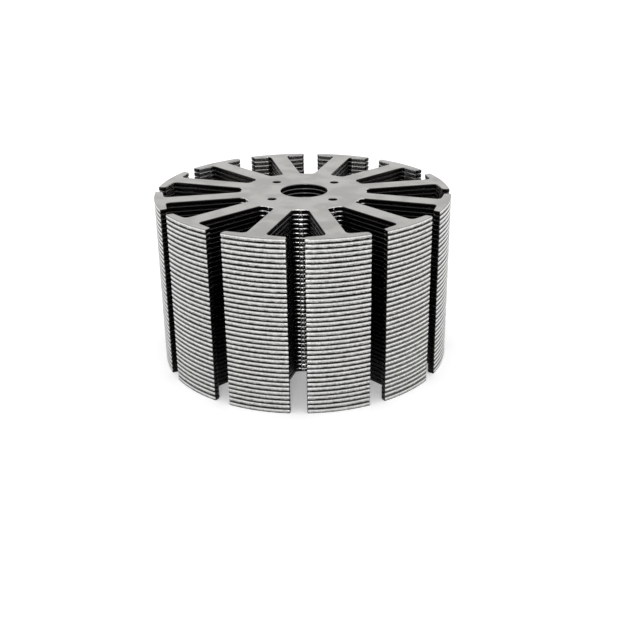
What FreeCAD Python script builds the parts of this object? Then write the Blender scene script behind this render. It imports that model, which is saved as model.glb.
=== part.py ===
import FreeCAD, Part

import math
import os

import Sketcher

# Stator lamination stack: punched sheets of electrical steel with T-shaped teeth, joined by a
# weld seam up the floor of every slot.
#
# The stack stands on its bottom sheet. The origin is the centre of that sheet's lower face, and
# +Z runs up the bore. One slot opens towards -Y. All sizes are in millimetres.
#
# Every sheet comes from one press tool: the disc is blanked, the bore and the four pilot holes are
# pierced and the slots are notched. The sheets are laid on each other with a narrow air gap, and
# each weld seam is a low rounded bead whose flat side lies on the slot floors of all the sheets.

SIZES = [
    # name, value, meaning
    ("outer_diameter", 38.0, "across the tooth heads"),
    ("bore_diameter", 6.0, "for the shaft or mandrel"),
    ("sheet_thickness", 0.5, "one punched sheet"),
    ("sheet_gap", 0.1, "air left between two sheets"),
    ("lamination_count", 37, "sheets in the stack"),
    ("slot_count", 12, "slots, and as many teeth between them"),
    ("slot_opening", 2.0, "between two tooth heads at the rim"),
    ("core_diameter", 16.2, "the solid core, across two slot floors"),
    ("tooth_width", 2.4, "the parallel shank of a tooth"),
    ("head_thickness", 1.3, "tooth head, on the tooth's centre line"),
    ("pilot_hole_diameter", 1.1, "for the pilot pins of the press tool"),
    ("pilot_circle_diameter", 10.8, "circle through the centres of the pilot holes"),
    ("pilot_hole_count", 4, "pilot holes in a sheet"),
    ("seam_width", 0.6, "weld seam, across the slot floor"),
    ("seam_height", 0.15, "how far a weld seam stands out of the slot floor"),
    ("punch_overrun", 1.0, "how far the slot punch reaches past the rim"),
]

STACK_HEIGHT = ("(sizes.lamination_count * (sizes.sheet_thickness + sizes.sheet_gap)"
                " - sizes.sheet_gap)")
SEAM_RADIUS = ("(sizes.seam_width ^ 2 / 4 + sizes.seam_height ^ 2)"
               " / (2 * sizes.seam_height)")
AXIS = FreeCAD.Vector(0, 0, 1)
ORIGIN = (-1, 1)
Y_AXIS = -2
START, END, CENTRE = range(1, 4)


def add_sizes(doc):
    """Put the driving dimensions in a spreadsheet, and return them by name."""
    cells = doc.addObject("Spreadsheet::Sheet", "sizes")
    for row, (alias, value, meaning) in enumerate(SIZES, start=1):
        cells.set(f"A{row}", alias)
        cells.set(f"B{row}", str(value))
        cells.set(f"C{row}", meaning)
        cells.setAlias(f"B{row}", alias)
    doc.recompute()
    return {alias: value for alias, value, _ in SIZES}


def add_body(doc, name):
    """Add an empty body, which exports under its name."""
    body = doc.addObject("PartDesign::Body", name)
    body.Label = name
    return body


def add_sketch(body, name):
    """Add a sketch on the body's own XY plane."""
    plane = next(item for item in body.Origin.OriginFeatures if item.Role == "XY_Plane")
    sketch = body.newObject("Sketcher::SketchObject", name)
    sketch.AttachmentSupport = [(plane, "")]
    sketch.MapMode = "FlatFace"
    return sketch


def dimension(sketch, name, expression, kind, *parts):
    """Add a constraint with a size of its own, and bind that size to an expression."""
    index = sketch.addConstraint(Sketcher.Constraint(kind, *parts))
    sketch.renameConstraint(index, name)
    sketch.setExpression(f"Constraints.{name}", expression)


def relate(sketch, kind, *parts):
    """Add a constraint that has no size."""
    sketch.addConstraint(Sketcher.Constraint(kind, *parts))


def add_round_sketch(body, name, size, diameter):
    """Sketch a circle on the axis, whose diameter is a named size."""
    sketch = add_sketch(body, name)
    sketch.addGeometry(Part.Circle(FreeCAD.Vector(), AXIS, size[diameter] / 2))
    relate(sketch, "Coincident", 0, CENTRE, *ORIGIN)
    dimension(sketch, "diameter", f"sizes.{diameter}", "Diameter", 0, size[diameter])
    return sketch


def add_pilot_hole_sketch(body, size):
    """Sketch a pilot hole on the centre line of the second tooth beside the front slot."""
    sketch = add_sketch(body, "pilot_hole_outline")
    radius = size["pilot_circle_diameter"] / 2
    angle = 3 * math.pi / size["slot_count"]
    across = radius * math.sin(angle)
    out = radius * math.cos(angle)
    centre = FreeCAD.Vector(across, -out, 0)
    sketch.addGeometry(Part.Circle(centre, AXIS, size["pilot_hole_diameter"] / 2))
    reach = "sizes.pilot_circle_diameter / 2"
    turn = "540 deg / sizes.slot_count"
    diameter = size["pilot_hole_diameter"]
    dimension(sketch, "diameter", "sizes.pilot_hole_diameter", "Diameter", 0, diameter)
    dimension(sketch, "across", f"{reach} * sin({turn})", "DistanceX", *ORIGIN, 0, CENTRE, across)
    dimension(sketch, "out", f"{reach} * cos({turn})", "DistanceY", 0, CENTRE, *ORIGIN, out)
    return sketch


def add_outline(sketch, corners):
    """Draw a closed outline of lines through its corners, and return the lines in order."""
    ends = corners[1:] + corners[:1]
    lines = [sketch.addGeometry(Part.LineSegment(a, b)) for a, b in zip(corners, ends)]
    for index, line in enumerate(lines):
        relate(sketch, "Coincident", lines[index - 1], END, line, START)
    return lines


def add_slot_sketch(body, size):
    """Sketch the slot that opens towards -Y, between the T-shaped teeth on either side of it.

    The tooth centre lines are half a slot pitch to either side. A shank is parallel to its centre
    line, and the underside of its head is square to it.
    """
    half_pitch = math.pi / size["slot_count"]
    sine = math.sin(half_pitch)
    cosine = math.cos(half_pitch)
    half_shank = size["tooth_width"] / 2
    half_mouth = size["slot_opening"] / 2
    floor = size["core_diameter"] / 2
    underside = size["outer_diameter"] / 2 - size["head_thickness"]
    rim = size["outer_diameter"] / 2 + size["punch_overrun"]

    # corners on the right as (across, out), then their mirror images on the left
    mouth = (half_mouth, rim)
    nose = (half_mouth, (underside - half_mouth * sine) / cosine)
    shoulder = (underside * sine - half_shank * cosine, underside * cosine + half_shank * sine)
    root = ((floor * sine - half_shank) / cosine, floor)
    side = [mouth, nose, shoulder, root]
    corners = [FreeCAD.Vector(across, -out, 0) for across, out in side]
    corners += [FreeCAD.Vector(-across, -out, 0) for across, out in reversed(side)]
    sketch = add_sketch(body, "slot_outline")
    lines = add_outline(sketch, corners)
    mouth_right, under_right, shank_right, floor_line = lines[:4]
    shank_left, under_left, mouth_left, rim_line = lines[4:]

    centre_lines = []
    for sign in (1, -1):
        reach = FreeCAD.Vector(sign * underside * sine, -underside * cosine, 0)
        line = sketch.addGeometry(Part.LineSegment(FreeCAD.Vector(), reach), True)
        relate(sketch, "Coincident", line, START, *ORIGIN)
        centre_lines.append(line)
    right, left = centre_lines
    head = "(sizes.outer_diameter / 2 - sizes.head_thickness)"
    relate(sketch, "Symmetric", left, END, right, END, Y_AXIS)
    dimension(sketch, "underside", head, "Distance", right, underside)
    dimension(sketch, "spread", f"2 * {head} * sin(180 deg / sizes.slot_count)",
              "DistanceX", left, END, right, END, 2 * underside * sine)

    relate(sketch, "Vertical", mouth_right)
    relate(sketch, "Vertical", mouth_left)
    relate(sketch, "Horizontal", floor_line)
    relate(sketch, "Symmetric", rim_line, START, rim_line, END, Y_AXIS)
    dimension(sketch, "mouth", "sizes.slot_opening", "Distance", rim_line, 2 * half_mouth)
    dimension(sketch, "floor", "sizes.core_diameter / 2", "DistanceY", floor_line, START, *ORIGIN, floor)
    dimension(sketch, "rim", "sizes.outer_diameter / 2 + sizes.punch_overrun",
              "DistanceY", rim_line, START, *ORIGIN, rim)
    flanks = (("right", right, shank_right, under_right), ("left", left, shank_left, under_left))
    for side_name, centre_line, shank, under in flanks:
        relate(sketch, "Parallel", centre_line, shank)
        relate(sketch, "Perpendicular", centre_line, under)
        relate(sketch, "PointOnObject", centre_line, END, under)
        dimension(sketch, f"shank_{side_name}", "sizes.tooth_width / 2",
                  "Distance", shank, START, centre_line, half_shank)
    return sketch


def add_cut(body, name, sketch):
    """Cut a sketch through the whole sheet, upwards from its lower face."""
    cut = body.newObject("PartDesign::Pocket", name)
    cut.Profile = sketch
    cut.Type = "ThroughAll"
    cut.Reversed = True
    return cut


def add_ring(body, name, feature, count):
    """Repeat a feature round the axis."""
    ring = body.newObject("PartDesign::PolarPattern", name)
    ring.Originals = [feature]
    ring.Axis = (feature.Profile[0], ["N_Axis"])
    ring.Angle = 360
    ring.setExpression("Occurrences", f"sizes.{count}")
    body.Tip = ring


def add_lamination(doc, name, size):
    """Model one sheet in the order of the press: blank, bore, pilot holes, slots."""
    body = add_body(doc, name)
    blank = body.newObject("PartDesign::Pad", "blank")
    blank.Profile = add_round_sketch(body, "blank_outline", size, "outer_diameter")
    blank.setExpression("Length", "sizes.sheet_thickness")
    add_cut(body, "bore", add_round_sketch(body, "bore_outline", size, "bore_diameter"))
    pilot_hole = add_cut(body, "pilot_hole", add_pilot_hole_sketch(body, size))
    add_ring(body, "pilot_holes", pilot_hole, "pilot_hole_count")
    slot = add_cut(body, "slot", add_slot_sketch(body, size))
    add_ring(body, "slots", slot, "slot_count")
    return body


def add_seam(doc, name, size):
    """Model the weld seam in the front slot: a segment of a circle, drawn up the whole stack."""
    body = add_body(doc, name)
    sketch = add_sketch(body, "seam_outline")
    half_width = size["seam_width"] / 2
    floor = size["core_diameter"] / 2
    left = FreeCAD.Vector(-half_width, -floor, 0)
    right = FreeCAD.Vector(half_width, -floor, 0)
    crest = FreeCAD.Vector(0, -floor - size["seam_height"], 0)
    bead = sketch.addGeometry(Part.Arc(left, crest, right))
    foot = sketch.addGeometry(Part.LineSegment(right, left))
    relate(sketch, "Coincident", bead, END, foot, START)
    relate(sketch, "Coincident", foot, END, bead, START)
    relate(sketch, "Symmetric", foot, START, foot, END, Y_AXIS)
    dimension(sketch, "width", "sizes.seam_width", "Distance", foot, size["seam_width"])
    dimension(sketch, "floor", "sizes.core_diameter / 2", "DistanceY", foot, START, *ORIGIN, floor)
    radius = (half_width ** 2 + size["seam_height"] ** 2) / (2 * size["seam_height"])
    dimension(sketch, "radius", SEAM_RADIUS, "Radius", bead, radius)
    pad = body.newObject("PartDesign::Pad", "seam")
    pad.Profile = sketch
    pad.setExpression("Length", STACK_HEIGHT)
    return body


def add_copy(doc, name, master):
    """Add a body that follows another one's shape."""
    body = add_body(doc, name)
    copy = body.newObject("PartDesign::FeatureBase", "copy")
    copy.BaseFeature = master.Tip
    body.Tip = copy
    return body


def add_series(doc, stem, count, master_maker, size):
    """Make the first of a row of like pieces, and copy it for the others."""
    master = master_maker(doc, f"{stem}_01", size)
    return [master] + [add_copy(doc, f"{stem}_{number:02d}", master) for number in range(2, count + 1)]


def check(doc, pieces):
    """Raise if any object failed, or if a piece isn't one valid solid."""
    for item in doc.Objects:
        if "Invalid" in item.State or "Error" in item.State:
            raise RuntimeError(f"{item.Name} did not build: {item.State}")
    for body in pieces:
        shape = body.Shape
        if shape.isNull() or not shape.isValid() or len(shape.Solids) != 1:
            raise RuntimeError(f"{body.Label} is not one valid solid")


def main():
    doc = FreeCAD.newDocument("stator_lamination_stack")
    size = add_sizes(doc)
    laminations = add_series(doc, "lamination", size["lamination_count"], add_lamination, size)
    for place, body in enumerate(laminations):
        body.setExpression("Placement.Base.z", f"{place} * (sizes.sheet_thickness + sizes.sheet_gap)")
    seams = add_series(doc, "weld_seam", size["slot_count"], add_seam, size)
    for place, body in enumerate(seams):
        body.Placement.Rotation.Axis = AXIS
        body.setExpression("Placement.Rotation.Angle", f"{place} * 360 deg / sizes.slot_count")
    doc.recompute()
    check(doc, laminations + seams)
    os.makedirs("parts", exist_ok=True)
    for body in laminations + seams:
        body.Shape.exportStep(f"parts/{body.Label}.step")


main()
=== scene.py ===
import math

import bpy
import numpy as np
from mathutils import Matrix, Vector
from mathutils.geometry import delaunay_2d_cdt


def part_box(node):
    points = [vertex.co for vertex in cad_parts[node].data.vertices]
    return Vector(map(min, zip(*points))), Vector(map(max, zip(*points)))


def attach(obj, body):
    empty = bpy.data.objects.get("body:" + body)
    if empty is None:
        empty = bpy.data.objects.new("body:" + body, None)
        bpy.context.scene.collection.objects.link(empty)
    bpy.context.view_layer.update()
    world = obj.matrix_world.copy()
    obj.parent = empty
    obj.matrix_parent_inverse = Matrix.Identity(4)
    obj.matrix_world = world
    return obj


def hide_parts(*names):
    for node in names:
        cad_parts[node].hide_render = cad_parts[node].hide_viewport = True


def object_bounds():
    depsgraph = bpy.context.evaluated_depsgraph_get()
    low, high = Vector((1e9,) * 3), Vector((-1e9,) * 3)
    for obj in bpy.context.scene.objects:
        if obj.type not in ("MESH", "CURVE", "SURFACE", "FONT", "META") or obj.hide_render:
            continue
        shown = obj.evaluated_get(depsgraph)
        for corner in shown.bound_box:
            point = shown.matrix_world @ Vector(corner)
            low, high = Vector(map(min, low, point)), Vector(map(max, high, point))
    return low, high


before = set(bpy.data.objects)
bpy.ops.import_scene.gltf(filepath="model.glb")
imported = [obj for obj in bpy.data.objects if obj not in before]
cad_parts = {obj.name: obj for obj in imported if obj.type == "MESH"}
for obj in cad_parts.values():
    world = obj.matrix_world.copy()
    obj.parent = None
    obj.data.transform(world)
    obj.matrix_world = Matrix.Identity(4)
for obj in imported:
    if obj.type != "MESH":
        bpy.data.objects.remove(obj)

bl_info = {
    "name": "Stator lamination stack",
    "version": (1, 0, 0),
    "blender": (4, 5, 0),
    "location": "3D View > Sidebar > Lamination stack",
    "description": "Dresses a stack of punched motor laminations: sheared sheets, weld seams and a stage",
    "category": "Add Mesh",
}

MM = 0.001
SEED = 7
CAD_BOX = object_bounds()
SHEETS = sorted(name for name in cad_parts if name.startswith("lamination_"))
SEAMS = sorted(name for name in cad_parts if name.startswith("weld_seam_"))
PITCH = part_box(SHEETS[1])[0][2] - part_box(SHEETS[0])[0][2]

# how finely the outlines, the beads and the floor are cut
FILLET_POINTS = 7
HALF_RIM_POINTS = 8
BORE_POINTS = 72
PILOT_HOLE_POINTS = 24
BEAD_COLUMNS = 12
BEAD_ROWS_A_SHEET = 12
FLOOR_POINTS = 64

# the floor's rings and the nearest thing that the camera shows, in metres, and its sensor in
# millimetres
FLOOR_RADII = (0.05, 0.4, 3.0)
NEAREST_SEEN = 0.01
SENSOR_WIDTH = 36.0


def length(name, millimetres, description):
    """Return a property that holds a length, given here in millimetres."""
    return bpy.props.FloatProperty(
        name=name, description=description, default=millimetres * MM, min=0.0,
        precision=6, subtype="DISTANCE", unit="LENGTH")


def linear(code):
    """Turn an sRGB hex colour such as "b8b8b6" into linear red, green, blue."""
    srgb = np.array([int(code[place:place + 2], 16) for place in (0, 2, 4)]) / 255
    low = srgb / 12.92
    high = ((srgb + 0.055) / 1.055) ** 2.4
    return tuple(float(value) for value in np.where(srgb <= 0.04045, low, high))


def colour(name, code, description):
    """Return a property that holds a colour, given here as sRGB hex."""
    return bpy.props.FloatVectorProperty(
        name=name, description=description, default=linear(code), size=3,
        min=0.0, max=1.0, subtype="COLOR")


class LaminationSettings(bpy.types.PropertyGroup):
    """Sizes and colours of the punched sheets."""

    slots: bpy.props.IntProperty(
        name="Slots", description="Slots round a sheet, and as many teeth", default=12, min=4)
    outer_diameter: length("Outer diameter", 38.0, "Across the tooth heads")
    bore_diameter: length("Bore", 6.0, "Round hole in the middle")
    core_diameter: length("Core", 16.2, "Across two slot floors")
    tooth_width: length("Tooth width", 2.4, "Parallel shank of a tooth")
    head_thickness: length("Head thickness", 1.3, "Tooth head, on the tooth's centre line")
    slot_opening: length("Slot opening", 2.0, "Between two tooth heads")
    floor_fillet: length("Floor fillet", 0.5, "Where a slot's floor meets a shank")
    head_fillet: length("Head fillet", 0.6, "Where a shank meets its head")
    nose_fillet: length("Nose fillet", 0.35, "Inner corner of a head's tip")
    rim_fillet: length("Rim fillet", 0.15, "Outer corner of a head's tip")
    pilot_hole_diameter: length("Pilot hole", 1.1, "Small round holes round the bore")
    pilot_circle_diameter: length("Pilot circle", 10.8, "Circle through the pilot holes")
    pilot_holes: bpy.props.IntProperty(
        name="Pilot holes", description="Small round holes in a sheet", default=4, min=1)
    stray: length("Stray", 0.009, "How far a sheet typically lies off its true place")
    face_colour: colour("Face", "b3b2af", "Cold rolled faces")
    burnish_colour: colour("Burnish", "dddddb", "Upper part of a punched edge")
    fracture_colour: colour("Fracture", "bcbcba", "Lower part of a punched edge")
    # painted shade: the edges inside the slots and the bore take this near-black colour in place of the
    # shade that falls there, and a tenth of it darkens the lower corner of every edge as the shade
    # between the sheets
    painted_shade_colour: colour("Walls", "262524", "Punched edges inside the slots and the bore")
    speck_colour: colour("Specks", "5a5651", "Dust and rust on the faces")


class SeamSettings(bpy.types.PropertyGroup):
    """Sizes and colour of the weld seams."""

    width: length("Width", 0.6, "Across the slot floor")
    height: length("Height", 0.15, "How far a seam stands out of the slot floor")
    ripple: length("Ripple", PITCH / MM, "From one lump of the bead to the next, one on each sheet")
    crest_place: bpy.props.FloatProperty(
        name="Crest", description="Height of a lump's shelf on its sheet, as a share of the ripple",
        default=0.66, min=0.0, max=0.8)
    foot_sink: length("Foot sink", 0.03, "How far both feet of a seam lie inside the sheets")
    bead_colour: colour("Bead", "f0f0ee", "Bare weld metal")


class StageSettings(bpy.types.PropertyGroup):
    """Floor, light and camera."""

    floor_colour: colour("Floor", "f6f6f6", "Matt floor")
    floor_glow: bpy.props.FloatProperty(
        name="Floor glow", description="What the floor adds to its own light, so that it looks white",
        default=0.28, min=0.0)
    daylight: bpy.props.FloatProperty(
        name="Daylight", description="Strength of the even white surroundings", default=1.0, min=0.0)
    light_place: bpy.props.FloatVectorProperty(
        name="Light place", description="Of the soft light in front",
        default=(-0.01, -0.39, 0.24), size=3, subtype="TRANSLATION", unit="LENGTH")
    light_aim: length("Light aim", 11.0, "Height on the axis that the soft light faces")
    light_width: length("Light width", 60.0, "Side of the soft light")
    light_power: bpy.props.FloatProperty(
        name="Light power", description="Of the soft light", default=0.25, min=0.0, unit="POWER")
    focal_length: bpy.props.FloatProperty(
        name="Focal length", description="On a sensor 36 mm wide", default=53.03, min=1.0,
        subtype="DISTANCE_CAMERA")
    distance: length("Distance", 127.37, "From the camera to the point it looks at")
    elevation: bpy.props.FloatProperty(
        name="Elevation", description="Of the camera above the floor",
        default=math.radians(22.70), subtype="ANGLE", unit="ROTATION")
    azimuth: bpy.props.FloatProperty(
        name="Azimuth", description="Of the camera, from the front anticlockwise",
        default=math.radians(-0.81), subtype="ANGLE", unit="ROTATION")
    aim_across: length("Aim across", 8.33, "From the axis to the point the camera looks at")
    aim_height: length("Aim height", 8.07, "Of that point above the floor")
    shift: bpy.props.FloatVectorProperty(
        name="Shift", description="Of the view across and up, in widths of the picture",
        default=(-0.0741, -0.0452), size=2)
    roll: bpy.props.FloatProperty(
        name="Roll", description="Of the camera about its view", default=math.radians(0.60),
        subtype="ANGLE", unit="ROTATION")


def unit(vectors):
    """Return vectors of length one, along the last axis."""
    return vectors / np.linalg.norm(vectors, axis=-1, keepdims=True)


def rounded(corners, radii, steps):
    """Round the inner corners of an open outline, and return the points of all its arcs.

    An arc touches both sides of its corner. Its centre lies on the corner's bisector, at the
    radius over the sine of half the angle. A point of it is the centre plus the radius times a
    turn from the direction of its first end to that of its last.
    """
    here = corners[1:-1]
    before = unit(corners[:-2] - here)
    after = unit(corners[2:] - here)
    half = np.arccos(np.sum(before * after, axis=1)) / 2
    radius = np.asarray(radii)[:, None]
    centre = here + unit(before + after) * radius / np.sin(half)[:, None]
    first = unit(here + before * radius / np.tan(half)[:, None] - centre)[:, None]
    last = unit(here + after * radius / np.tan(half)[:, None] - centre)[:, None]
    turn = (math.pi - 2 * half)[:, None, None]
    share = np.linspace(0, 1, steps)[None, :, None]
    direction = (np.sin((1 - share) * turn) * first + np.sin(share * turn) * last) / np.sin(turn)
    return (centre[:, None] + radius[:, None] * direction).reshape(-1, 2)


def turned(points, angles):
    """Return the points once for every angle, turned about the axis by it."""
    cosine = np.cos(angles)[:, None]
    sine = np.sin(angles)[:, None]
    x = cosine * points[:, 0] - sine * points[:, 1]
    y = sine * points[:, 0] + cosine * points[:, 1]
    return np.stack([x, y], axis=-1)


def tooth_outline(size):
    """Return the sheet's outer outline, anticlockwise.

    The outline of one slot runs from the middle of a tooth's rim down into the slot, over its
    floor and out to the middle of the next rim, and is turned round the axis once for every slot.
    """
    half_pitch = math.pi / size.slots
    sine = math.sin(half_pitch)
    cosine = math.cos(half_pitch)
    radius = size.outer_diameter / 2
    half_mouth = size.slot_opening / 2
    half_shank = size.tooth_width / 2
    floor = size.core_diameter / 2
    underside = radius - size.head_thickness
    tip = math.sqrt(radius ** 2 - half_mouth ** 2)
    tangent = np.array([tip, -half_mouth]) / radius
    rim_corner = np.array([half_mouth, tip])
    # a point along the rim's tangent, which gives the first and the last corner their other side
    beyond_corner = rim_corner + tangent * radius * 0.1
    side = np.array([
        beyond_corner,
        rim_corner,
        [half_mouth, (underside - half_mouth * sine) / cosine],
        [underside * sine - half_shank * cosine, underside * cosine + half_shank * sine],
        [(floor * sine - half_shank) / cosine, floor],
    ])
    corners = np.vstack([side * (-1, -1), side[::-1] * (1, -1)])
    fillets = [size.rim_fillet, size.nose_fillet, size.head_fillet, size.floor_fillet]
    slot = rounded(corners, fillets + fillets[::-1], FILLET_POINTS)

    tip_angle = math.asin(half_mouth / radius) + size.rim_fillet / radius
    angles = np.linspace(-half_pitch, -tip_angle, HALF_RIM_POINTS)[:-1]
    left = radius * np.stack([np.sin(angles), -np.cos(angles)], axis=-1)
    right = left[:0:-1] * (-1, 1)
    pitch = np.vstack([left, slot, right])
    places = np.arange(size.slots) * 2 * half_pitch
    return turned(pitch, places).reshape(-1, 2)


def hole_outline(radius, points):
    """Return a circle walked clockwise, so that the steel is on its left.

    A point is the radius times the cosine and the sine of its angle.
    """
    angles = -np.arange(points) * 2 * math.pi / points
    return radius * np.stack([np.cos(angles), np.sin(angles)], axis=-1)


def sheet_outlines(size):
    """Return every closed outline of a sheet, each with the steel on its left."""
    pilot_hole = hole_outline(size.pilot_hole_diameter / 2, PILOT_HOLE_POINTS)
    angles = (np.arange(size.pilot_holes) + 0.5) * 2 * math.pi / size.pilot_holes
    reach = size.pilot_circle_diameter / 2
    centres = reach * np.stack([np.cos(angles), np.sin(angles)], axis=-1)
    bore = hole_outline(size.bore_diameter / 2, BORE_POINTS)
    return [tooth_outline(size), bore] + [pilot_hole + centre for centre in centres]


def outward(outline):
    """Return at each point the direction away from the steel, for a sideways step of one.

    It is the sum of the normals of both sides, over one plus the cosine between them.
    """
    sides = unit(np.roll(outline, -1, axis=0) - outline)
    normals = np.stack([sides[:, 1], -sides[:, 0]], axis=-1)
    others = np.roll(normals, 1, axis=0)
    return (normals + others) / (1 + np.sum(normals * others, axis=1))[:, None]


# how a punched edge runs from the upper face to the lower one: how far it is set back in
# millimetres, and its height as a share of the sheet. The press rolls the upper corner over,
# shears a smooth band below it, and tears the rest, which slopes back a little.
EDGE = np.array([
    (0.110, 1.000),
    (0.060, 0.985),
    (0.028, 0.935),
    (0.009, 0.850),
    (0.000, 0.740),
    (0.000, 0.500),
    (0.012, 0.430),
    (0.026, 0.060),
    (0.040, 0.000),
])


def sheet_pattern(size):
    """Return what all sheets share: flat points, directions out of the steel, and faces.

    The edge profile is carried along every outline, so that two of its heights and two neighbours of
    an outline make one quad. The flat face is cut into triangles once, and is both caps.
    """
    outlines = sheet_outlines(size)
    flat = np.vstack(outlines)
    away = np.vstack([outward(outline) for outline in outlines])
    count = len(flat)
    following = np.arange(count) + 1
    start = 0
    for outline in outlines:
        following[start + len(outline) - 1] = start
        start += len(outline)
    here = np.arange(count)
    rings = np.arange(len(EDGE) - 1)[:, None] * count
    strips = np.stack([rings + here, rings + count + here, rings + count + following,
                       rings + following], axis=-1).reshape(-1, 4)
    edges = np.stack([here, following], axis=-1).tolist()
    rim = [list(range(len(outlines[0])))]
    # cut inside the outer outline only, and join points nearer than a hundredth of a micrometre
    inside_only = 1
    nearness = 1e-5
    cut = delaunay_2d_cdt([Vector(point) for point in flat / MM], edges, rim, inside_only, nearness)
    top = np.array(cut[2])
    middles = flat[top].mean(axis=1)
    for hole in outlines[1:]:
        middle = hole.mean(axis=0)
        radius = np.linalg.norm(hole[0] - middle)
        keep = np.linalg.norm(middles - middle, axis=1) > radius
        top = top[keep]
        middles = middles[keep]
    bottom = top[:, ::-1] + (len(EDGE) - 1) * count
    return flat, away, strips, np.vstack([top, bottom])


def sheet_points(flat, away, low, high, stray, random):
    """Return a sheet's points, ring by ring from its upper face to its lower one, and their heights.

    A point lies on its outline, less the profile's setback along the direction out of the steel, at
    the profile's share of the sheet's height. The sheet is then turned and moved a little off its
    true place, as stacked sheets are.
    """
    reach = np.linalg.norm(flat, axis=1).max()
    angle = random.normal(0, stray / reach)
    shift = random.normal(0, stray, 2)
    lift = np.clip(random.normal(0, stray), -2 * stray, 2 * stray)
    rings = flat - away * EDGE[:, :1, None] * MM
    rings = turned(rings.reshape(-1, 2), np.array([angle]))[0] + shift
    heights = np.repeat(EDGE[:, 1], len(flat))
    z = low + heights * (high - low) + lift
    return np.column_stack([rings, z]), heights


def add_mesh(name, points, faces, smooth_faces=None):
    """Make a mesh object at the origin from numpy arrays. faces is a list of face arrays.

    Faces are shaded smooth, or only the first smooth_faces of them where that is given.
    """
    mesh = bpy.data.meshes.new(name)
    corners = np.concatenate([block.ravel() for block in faces])
    sizes = np.concatenate([np.full(len(block), block.shape[1]) for block in faces])
    mesh.vertices.add(len(points))
    mesh.vertices.foreach_set("co", points.astype(np.float32).ravel())
    mesh.loops.add(len(corners))
    mesh.loops.foreach_set("vertex_index", corners.astype(np.int32))
    mesh.polygons.add(len(sizes))
    starts = np.concatenate([[0], np.cumsum(sizes)[:-1]])
    mesh.polygons.foreach_set("loop_start", starts.astype(np.int32))
    smooth = np.ones(len(sizes), dtype=bool)
    if smooth_faces is not None:
        smooth[smooth_faces:] = False
    mesh.polygons.foreach_set("use_smooth", smooth)
    mesh.update(calc_edges=True)
    mesh.validate()
    piece = bpy.data.objects.new(name, mesh)
    bpy.context.scene.collection.objects.link(piece)
    return piece


def add_node(tree, kind, links=None, **settings):
    """Add a node with its settings. links gives, by input, the node, socket or value that goes into it.

    A node that has the same input once for every kind of data keeps only one of them switched on.
    """
    node = tree.nodes.new(kind)
    for name, value in settings.items():
        setattr(node, name, value)
    for name, source in (links or {}).items():
        if isinstance(name, int):
            socket = node.inputs[name]
        else:
            socket = next(item for item in node.inputs if item.enabled and item.name == name)
        if isinstance(source, bpy.types.Node):
            source = next(item for item in source.outputs if item.enabled)
        if isinstance(source, bpy.types.NodeSocket):
            tree.links.new(source, socket)
        else:
            socket.default_value = source
    return node


def new_material(name):
    """Add an empty material, and return it with its node tree."""
    material = bpy.data.materials.new(name)
    material.use_nodes = True
    material.node_tree.nodes.clear()
    return material, material.node_tree


def shade(colour_value, share):
    """Return a share of a colour, as a shader's socket takes it."""
    return (*(share * np.array(colour_value)), 1)


def sheared_edge(tree, size, place, height):
    """Colour, roughness and relief of an edge sheared in a press.

    Above the break it is burnished and mirrors the surroundings. Below it is torn and mottled, and its
    lower corner is painted dark as the shade between the sheets. Also returns where the edge is
    burnished.
    """
    # tears and pits of the torn zone are some 0.1 mm across
    tear = add_node(tree, "ShaderNodeTexNoise", {
        "Vector": place, "Scale": 1 / (0.16 * MM), "Detail": 3.0, "Roughness": 0.65})
    # the burnished zone is scored along the punch's travel. Real scores lie a few hundredths of a
    # millimetre apart, and are drawn some 0.06 mm apart so that they show
    along = add_node(tree, "ShaderNodeMapping", {"Vector": place, "Scale": (1, 1, 0.3)})
    score = add_node(tree, "ShaderNodeTexNoise", {
        "Vector": along, "Scale": 1 / (0.12 * MM), "Detail": 2.0})
    # the break between the two zones wanders along the edge
    wander = add_node(tree, "ShaderNodeTexNoise", {
        "Vector": place, "Scale": 1 / (0.5 * MM), "Detail": 3.0})
    level = add_node(tree, "ShaderNodeMath", {0: wander, 1: 0.5, 2: height}, operation="MULTIPLY_ADD")
    burnished = add_node(tree, "ShaderNodeMapRange", {"Value": level, "From Min": 0.70, "From Max": 0.82},
                         interpolation_type="SMOOTHSTEP")
    # painted shade: the lower corner of each sheet's edge is painted nearly black, as the dark line of
    # shade between the sheets
    painted_gap_shade = add_node(tree, "ShaderNodeMapRange", {"Value": level, "From Min": 0.46, "From Max": 0.38},
                     interpolation_type="SMOOTHSTEP")

    torn = add_node(tree, "ShaderNodeMapRange", {"Value": tear, "From Min": 0.38, "From Max": 0.66},
                    interpolation_type="SMOOTHSTEP")
    scored = add_node(tree, "ShaderNodeMapRange", {"Value": score, "From Min": 0.35, "From Max": 0.65},
                      interpolation_type="SMOOTHSTEP")
    fracture = add_node(tree, "ShaderNodeMix", {
        "Factor": torn, "A": shade(size.fracture_colour, 0.45), "B": shade(size.fracture_colour, 1)},
        data_type="RGBA")
    burnish = add_node(tree, "ShaderNodeMix", {
        "Factor": scored, "A": shade(size.burnish_colour, 0.75), "B": shade(size.burnish_colour, 1)},
        data_type="RGBA")
    clean = add_node(tree, "ShaderNodeMix", {"Factor": burnished, "A": fracture, "B": burnish},
                     data_type="RGBA")
    paint = add_node(tree, "ShaderNodeMix", {
        "Factor": painted_gap_shade, "A": clean, "B": shade(size.painted_shade_colour, 0.1)}, data_type="RGBA")

    rough = add_node(tree, "ShaderNodeMix", {"Factor": burnished, "A": 0.50, "B": 0.24})
    texture = add_node(tree, "ShaderNodeMix", {"Factor": burnished, "A": tear, "B": score})
    depth = add_node(tree, "ShaderNodeMix", {"Factor": burnished, "A": 0.020 * MM, "B": 0.004 * MM})
    relief = add_node(tree, "ShaderNodeMath", {0: texture, 1: depth}, operation="MULTIPLY")
    return paint, rough, relief, burnished


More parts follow.
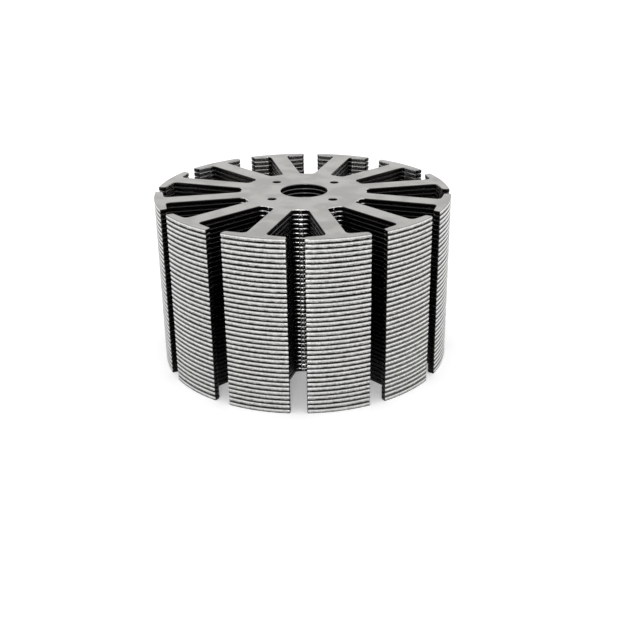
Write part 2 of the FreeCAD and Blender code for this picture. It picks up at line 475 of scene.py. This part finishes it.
def painted_wall_shade_and_glint(tree, size, height, reach, burnished):
    """Colour of the sheared edges inside the slots and the holes, painted dark as shade.

    The rolled upper corner carries a painted highlight: bright on the slot floors, and painted duller as
    shade in the holes and on the shanks.
    """
    # painted shade: the walls are near-black, darker still below the break
    painted_wall_shade = add_node(tree, "ShaderNodeMix", {
        "Factor": burnished, "A": shade(size.painted_shade_colour, 0.35), "B": shade(size.painted_shade_colour, 1)},
        data_type="RGBA")
    core = size.core_diameter / 2
    on_shank = add_node(tree, "ShaderNodeMapRange", {
        "Value": reach, "From Min": core + 0.12 * MM, "From Max": core + 0.5 * MM},
        interpolation_type="SMOOTHSTEP")
    past_holes = add_node(tree, "ShaderNodeMapRange", {
        "Value": reach, "From Min": core - 1.0 * MM, "From Max": core - 0.5 * MM})
    # painted highlight on the rolled upper corner: full burnish colour on the slot floors, and painted
    # shade, nearly black on the shanks and dim in the holes
    outer_corner = add_node(tree, "ShaderNodeMix", {
        "Factor": on_shank, "A": shade(size.burnish_colour, 1), "B": shade(size.face_colour, 0.07)},
        data_type="RGBA")
    corner = add_node(tree, "ShaderNodeMix", {
        "Factor": past_holes, "A": shade(size.burnish_colour, 0.2), "B": outer_corner},
        data_type="RGBA")
    rolled = add_node(tree, "ShaderNodeMapRange", {"Value": height, "From Min": 0.76, "From Max": 0.86},
                      interpolation_type="SMOOTHSTEP")
    return add_node(tree, "ShaderNodeMix", {"Factor": rolled, "A": painted_wall_shade, "B": corner},
                    data_type="RGBA")


def rolled_face(tree, size, place):
    """Colour, roughness and relief of a cold rolled face: satin grey, stained and specked."""
    # rolling leaves a grain of lines, all one way. Real ones lie a few hundredths of a millimetre
    # apart, which is too fine to show, so they are drawn some 0.3 mm apart
    rolling = add_node(tree, "ShaderNodeMapping", {"Vector": place, "Scale": (0.06, 1, 1)})
    grain = add_node(tree, "ShaderNodeTexNoise", {
        "Vector": rolling, "Scale": 1 / (0.3 * MM), "Detail": 4.0})
    # stains of thin oil are some 3 mm across
    cloud = add_node(tree, "ShaderNodeTexNoise", {
        "Vector": place, "Scale": 1 / (3 * MM), "Detail": 3.0})
    clear = add_node(tree, "ShaderNodeMapRange", {"Value": cloud, "From Min": 0.36, "From Max": 0.60},
                     interpolation_type="SMOOTHSTEP")
    # specks of dust and rust are some 0.1 mm across and few
    dust = add_node(tree, "ShaderNodeTexNoise", {
        "Vector": place, "Scale": 1 / (0.28 * MM), "Detail": 1.0})
    speck = add_node(tree, "ShaderNodeMapRange", {"Value": dust, "From Min": 0.76, "From Max": 0.80},
                     interpolation_type="SMOOTHSTEP")
    sheet = add_node(tree, "ShaderNodeMix", {
        "Factor": clear, "A": shade(size.face_colour, 0.78), "B": shade(size.face_colour, 1)},
        data_type="RGBA")
    paint = add_node(tree, "ShaderNodeMix", {
        "Factor": speck, "A": sheet, "B": shade(size.speck_colour, 1)}, data_type="RGBA")
    rough = add_node(tree, "ShaderNodeMix", {"Factor": grain, "A": 0.30, "B": 0.38})
    relief = add_node(tree, "ShaderNodeMath", {0: grain, 1: 0.0006 * MM}, operation="MULTIPLY")
    return paint, rough, relief


def electrical_steel(size):
    """Non-oriented silicon steel: cold rolled faces, edges sheared in a press.

    The faces are an even satin grey. The edges are clean and bright on the rim and on the heads'
    undersides, and painted dark as shade inside the slots and the holes, with a painted highlight on
    their rolled upper corners.
    """
    material, tree = new_material("cold_rolled_electrical_steel")
    place = add_node(tree, "ShaderNodeTexCoord").outputs["Object"]
    height = add_node(tree, "ShaderNodeAttribute", attribute_name="height").outputs["Fac"]
    normal = add_node(tree, "ShaderNodeNewGeometry").outputs["Normal"]

    upright = add_node(tree, "ShaderNodeSeparateXYZ", {"Vector": normal}).outputs["Z"]
    steep = add_node(tree, "ShaderNodeMath", {0: upright}, operation="ABSOLUTE")
    on_face = add_node(tree, "ShaderNodeMapRange", {"Value": steep, "From Min": 0.80, "From Max": 0.97},
                       interpolation_type="SMOOTHSTEP")

    # the rim and the heads' undersides face along the radius, and lie in the heads
    flat_place = add_node(tree, "ShaderNodeVectorMath", {0: place, 1: (1, 1, 0)}, operation="MULTIPLY")
    reach = add_node(tree, "ShaderNodeVectorMath", {0: flat_place}, operation="LENGTH")
    from_axis = add_node(tree, "ShaderNodeVectorMath", {0: flat_place}, operation="NORMALIZE")
    facing = add_node(tree, "ShaderNodeVectorMath", {0: from_axis, 1: normal},
                      operation="DOT_PRODUCT").outputs["Value"]
    along_radius = add_node(tree, "ShaderNodeMath", {0: facing}, operation="ABSOLUTE")
    radial = add_node(tree, "ShaderNodeMapRange", {
        "Value": along_radius, "From Min": 0.75, "From Max": 0.92}, interpolation_type="SMOOTHSTEP")
    underside = size.outer_diameter / 2 - size.head_thickness
    in_head = add_node(tree, "ShaderNodeMapRange", {
        "Value": reach, "From Min": underside - 0.9 * MM, "From Max": underside - 0.6 * MM},
        interpolation_type="SMOOTHSTEP")
    outside_painted_shade = add_node(tree, "ShaderNodeMath", {0: radial, 1: in_head}, operation="MULTIPLY")

    edge, edge_rough, edge_relief, burnished = sheared_edge(tree, size, place, height)
    wall = painted_wall_shade_and_glint(tree, size, height, reach, burnished)
    face, face_rough, face_relief = rolled_face(tree, size, place)
    # away from the rim and the heads' undersides, the edges take the painted shade of the slots and the
    # holes
    side = add_node(tree, "ShaderNodeMix", {"Factor": outside_painted_shade, "A": wall, "B": edge},
                    data_type="RGBA")
    base = add_node(tree, "ShaderNodeMix", {"Factor": on_face, "A": side, "B": face},
                    data_type="RGBA")
    rough = add_node(tree, "ShaderNodeMix", {"Factor": on_face, "A": edge_rough, "B": face_rough})
    relief = add_node(tree, "ShaderNodeMix", {"Factor": on_face, "A": edge_relief, "B": face_relief})
    bump = add_node(tree, "ShaderNodeBump", {"Height": relief, "Strength": 1.0, "Distance": 1.0})
    shader = add_node(tree, "ShaderNodeBsdfPrincipled", {
        "Base Color": base, "Metallic": 1.0, "Roughness": rough, "Normal": bump})
    add_node(tree, "ShaderNodeOutputMaterial", {"Surface": shader})
    return material


def weld_metal(size):
    """Bare steel weld bead: bright on each sheet's shelf as a painted highlight of the glinting edge,
    bright on the borders, and dark between them, partly scale and partly painted shade.
    """
    material, tree = new_material("bare_weld_bead")
    place = add_node(tree, "ShaderNodeTexCoord").outputs["Object"]
    painted_glint_and_polish = add_node(tree, "ShaderNodeAttribute", attribute_name="painted_glint_and_polish").outputs["Fac"]
    # pits and spots of scale are some 0.1 mm across
    pits = add_node(tree, "ShaderNodeTexNoise", {
        "Vector": place, "Scale": 1 / (0.10 * MM), "Detail": 2.0, "Roughness": 0.6})
    both = add_node(tree, "ShaderNodeMath", {0: pits, 1: 1.6, 2: painted_glint_and_polish}, operation="MULTIPLY_ADD")
    clean = add_node(tree, "ShaderNodeMapRange", {"Value": both, "From Min": 1.15, "From Max": 1.50},
                     interpolation_type="SMOOTHSTEP")
    # painted light and shade: bright metal where the mask is high, a painted highlight on the shelves,
    # and nearly black elsewhere, partly real scale in the pits and partly painted shade in the hollows
    base = add_node(tree, "ShaderNodeMix", {
        "Factor": clean, "A": shade(size.bead_colour, 0.03), "B": shade(size.bead_colour, 1)},
        data_type="RGBA")
    rough = add_node(tree, "ShaderNodeMix", {"Factor": clean, "A": 0.55, "B": 0.26})
    relief = add_node(tree, "ShaderNodeMath", {0: pits, 1: 0.012 * MM}, operation="MULTIPLY")
    bump = add_node(tree, "ShaderNodeBump", {"Height": relief, "Strength": 1.0, "Distance": 1.0})
    shader = add_node(tree, "ShaderNodeBsdfPrincipled", {
        "Base Color": base, "Metallic": 1.0, "Roughness": rough, "Normal": bump})
    add_node(tree, "ShaderNodeOutputMaterial", {"Surface": shader})
    return material


def floor_paint(size):
    """Matt white paint, which shows the object's shadow and hardly a reflection.

    To the camera, and mirrored in the steel, it glows a little, so that the open floor is white.
    """
    material, tree = new_material("matt_floor_paint")
    paint = add_node(tree, "ShaderNodeBsdfPrincipled", {
        "Base Color": shade(size.floor_colour, 1), "Roughness": 0.9, "Specular IOR Level": 0.1})
    path = add_node(tree, "ShaderNodeLightPath")
    seen = add_node(tree, "ShaderNodeMath", {
        0: path.outputs["Is Camera Ray"], 1: path.outputs["Is Glossy Ray"]}, operation="ADD")
    strength = add_node(tree, "ShaderNodeMath", {0: seen, 1: size.floor_glow}, operation="MULTIPLY")
    glow = add_node(tree, "ShaderNodeEmission", {"Color": (1, 1, 1, 1), "Strength": strength})
    both = add_node(tree, "ShaderNodeAddShader", {0: paint, 1: glow})
    add_node(tree, "ShaderNodeOutputMaterial", {"Surface": both})
    return material


def seam_points(size, low, high, angle, floor, random):
    """Return the bead's points as a grid, and how brightly the metal is painted at each: clean metal, and
    a painted highlight on the shelves.

    The grid's columns run across the bead and its rows up the stack. A point's place across is the
    half width times the cosine of its column's angle, and its height over the slot floor is the
    bead's height times a low power of the sine, so that the bead is flat. Up each sheet the bead
    swells evenly to a shelf at the upper edge, and drops back above it. It thins out to nothing at
    both ends.
    """
    rows = BEAD_ROWS_A_SHEET * round((high - low) / size.ripple) + 1
    z = np.linspace(low, high, rows)
    column = np.linspace(0, math.pi, BEAD_COLUMNS)
    phase = (z - low) / size.ripple % 1
    below_crest = size.crest_place + 0.17
    crest = np.interp(phase, (0, size.crest_place, below_crest, 1), (0.2, 1, 0.1, 0.2))
    # painted highlight: the shelf of each lump, where the rolled edges glint, is marked bright, and so
    # are both borders of the bead; the hollow between them is left dark, partly scale and partly painted
    # shade
    shelf = np.interp(phase, (0.56, 0.64, 0.84, 0.90), (0, 1, 1, 0))
    border = np.interp(np.abs(np.cos(column)), (0.40, 0.65), (0.25, 0.75))
    lump = np.interp(phase, (0.12, 0.25, 0.80, 0.90), (0, 1, 1, 0))
    painted_glint_and_polish = np.maximum(shelf[:, None], lump[:, None] * border)
    # the bead's width, height and place across waver, each by a row of smoothed random numbers
    noise = random.normal(0, 1, (3, rows))
    kernel = np.hanning(5)
    kernel /= kernel.sum()
    wider, higher, aside = [np.convolve(row, kernel, mode="same") for row in noise]
    end = np.sqrt(np.clip(np.minimum(z - low, 0.5 * (high - z)) / size.ripple, 0, 1))
    half_width = size.width / 2 * (0.86 + 0.12 * crest + 0.10 * wider) * end
    height = size.height * (0.30 + 0.35 * crest + 0.08 * higher) * end
    drift = 0.04 * size.width * aside
    across = drift[:, None] - half_width[:, None] * np.cos(column)
    flatness = 0.45
    out = floor + height[:, None] * np.sin(column) ** flatness
    # both feet sink a little into the sheets, so that no light passes under the bead
    out[:, (0, -1)] -= size.foot_sink
    cosine = math.cos(angle)
    sine = math.sin(angle)
    x = cosine * across + sine * out
    y = sine * across - cosine * out
    heights = np.repeat(z[:, None], BEAD_COLUMNS, axis=1)
    return np.stack([x, y, heights], axis=-1).reshape(-1, 3), painted_glint_and_polish.ravel()


def seam_faces(rows):
    """Return quads that close the grid across its back, and the two ends."""
    row = np.arange(rows - 1)[:, None] * BEAD_COLUMNS
    column = np.arange(BEAD_COLUMNS)
    beside = (column + 1) % BEAD_COLUMNS
    above = row + BEAD_COLUMNS
    quads = np.stack([row + column, row + beside, above + beside, above + column], axis=-1)
    ends = np.stack([column[::-1], column + (rows - 1) * BEAD_COLUMNS])
    return [quads.reshape(-1, 4), ends]


class STACK_OT_laminations(bpy.types.Operator):
    """Dress every sheet of the stack with a sheared edge and a rolled face"""

    bl_idname = "stack.laminations"
    bl_label = "Laminations"

    def execute(self, context):
        size = context.scene.lamination_settings
        flat, away, strips, caps = sheet_pattern(size)
        steel = electrical_steel(size)
        random = np.random.default_rng(SEED)
        for node in SHEETS:
            low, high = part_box(node)
            points, heights = sheet_points(flat, away, low[2], high[2], size.stray, random)
            piece = add_mesh(f"{node}_punched", points, [strips, caps], len(strips))
            attribute = piece.data.attributes.new("height", "FLOAT", "POINT")
            attribute.data.foreach_set("value", heights.astype(np.float32))
            piece.data.materials.append(steel)
            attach(piece, "root")
            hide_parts(node)
        return {"FINISHED"}


class STACK_OT_weld_seams(bpy.types.Operator):
    """Lay a rippled weld bead up the floor of every slot"""

    bl_idname = "stack.weld_seams"
    bl_label = "Weld seams"

    def execute(self, context):
        size = context.scene.seam_settings
        floor = context.scene.lamination_settings.core_diameter / 2
        metal = weld_metal(size)
        random = np.random.default_rng(SEED + 1)
        for number, node in enumerate(SEAMS):
            low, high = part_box(node)
            angle = number * 2 * math.pi / len(SEAMS)
            points, painted_glint_and_polish = seam_points(size, low[2], high[2], angle, floor, random)
            piece = add_mesh(f"{node}_bead", points, seam_faces(len(points) // BEAD_COLUMNS))
            attribute = piece.data.attributes.new("painted_glint_and_polish", "FLOAT", "POINT")
            attribute.data.foreach_set("value", painted_glint_and_polish.astype(np.float32))
            piece.data.materials.append(metal)
            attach(piece, "root")
            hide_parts(node)
        return {"FINISHED"}


class STACK_OT_stage(bpy.types.Operator):
    """Set the floor, the light and the camera"""

    bl_idname = "stack.stage"
    bl_label = "Stage"

    def execute(self, context):
        size = context.scene.stage_settings
        scene = context.scene
        self.add_floor(size)
        self.add_daylight(scene, size)
        self.add_light(scene, size)
        self.add_camera(scene, size)
        scene.view_settings.view_transform = "Standard"
        return {"FINISHED"}

    def add_floor(self, size):
        """A round floor: its points lie on rings, each a circle about the axis."""
        angles = np.arange(FLOOR_POINTS) * 2 * math.pi / FLOOR_POINTS
        circle = np.stack([np.cos(angles), np.sin(angles)], axis=-1)
        flat = np.vstack([radius * circle for radius in FLOOR_RADII])
        points = np.column_stack([flat, np.full(len(flat), CAD_BOX[0][2])])
        here = np.arange(FLOOR_POINTS)
        beside = (here + 1) % FLOOR_POINTS
        ring = np.arange(len(FLOOR_RADII) - 1)[:, None] * FLOOR_POINTS
        outer = ring + FLOOR_POINTS
        quads = np.stack([ring + here, outer + here, outer + beside, ring + beside], axis=-1)
        floor = add_mesh("floor", points, [quads.reshape(-1, 4), here[None]])
        floor.data.materials.append(floor_paint(size))

    def add_daylight(self, scene, size):
        """Even white surroundings, which the camera sees and the steel mirrors."""
        world = bpy.data.worlds.new("daylight")
        world.use_nodes = True
        tree = world.node_tree
        tree.nodes.clear()
        sky = add_node(tree, "ShaderNodeBackground", {"Color": (1, 1, 1, 1), "Strength": size.daylight})
        add_node(tree, "ShaderNodeOutputWorld", {"Surface": sky})
        scene.world = world

    def add_light(self, scene, size):
        """Hang a square soft light in front, facing the stack."""
        place = Vector(size.light_place)
        target = Vector((0, 0, size.light_aim))
        light = bpy.data.lights.new("front_light", "AREA")
        light.shape = "SQUARE"
        light.size = size.light_width
        light.energy = size.light_power
        lamp = bpy.data.objects.new("front_light", light)
        lamp.location = place
        lamp.rotation_euler = (target - place).to_track_quat("-Z", "Y").to_euler()
        scene.collection.objects.link(lamp)

    def add_camera(self, scene, size):
        """Place the camera on a sphere round the point that it looks at, and turn it to that."""
        turn = Matrix.Rotation(size.azimuth, 3, "Z")
        target = turn @ Vector((size.aim_across, 0, size.aim_height))
        back = turn @ Vector((0, -math.cos(size.elevation), math.sin(size.elevation)))
        camera = bpy.data.objects.new("camera", bpy.data.cameras.new("camera"))
        camera.data.lens = size.focal_length
        camera.data.sensor_width = SENSOR_WIDTH
        camera.data.shift_x = size.shift[0]
        camera.data.shift_y = size.shift[1]
        camera.data.clip_start = NEAREST_SEEN
        level = back.to_track_quat("Z", "Y").to_matrix()
        camera.matrix_world = (Matrix.Translation(target + back * size.distance)
                               @ (level @ Matrix.Rotation(size.roll, 3, "Z")).to_4x4())
        scene.collection.objects.link(camera)
        scene.camera = camera


class STACK_PT_panel(bpy.types.Panel):
    """Lists the pieces and their sizes"""

    bl_idname = "STACK_PT_panel"
    bl_label = "Lamination stack"
    bl_space_type = "VIEW_3D"
    bl_region_type = "UI"
    bl_category = "Lamination stack"

    def draw(self, context):
        for settings, operator in GROUPS:
            box = self.layout.box()
            group = getattr(context.scene, settings)
            for name in group.bl_rna.properties.keys():
                if name not in ("rna_type", "name"):
                    box.prop(group, name)
            box.operator(operator)


GROUPS = (
    ("lamination_settings", "stack.laminations"),
    ("seam_settings", "stack.weld_seams"),
    ("stage_settings", "stack.stage"),
)
SETTINGS = {
    "lamination_settings": LaminationSettings,
    "seam_settings": SeamSettings,
    "stage_settings": StageSettings,
}
CLASSES = (
    LaminationSettings,
    SeamSettings,
    StageSettings,
    STACK_OT_laminations,
    STACK_OT_weld_seams,
    STACK_OT_stage,
    STACK_PT_panel,
)


def register():
    for item in CLASSES:
        bpy.utils.register_class(item)
    for name, settings in SETTINGS.items():
        setattr(bpy.types.Scene, name, bpy.props.PointerProperty(type=settings))


def unregister():
    for name in SETTINGS:
        delattr(bpy.types.Scene, name)
    for item in reversed(CLASSES):
        bpy.utils.unregister_class(item)


def main():
    register()
    bpy.ops.stack.laminations()
    bpy.ops.stack.weld_seams()
    bpy.ops.stack.stage()


if __name__ == "__main__":
    main()
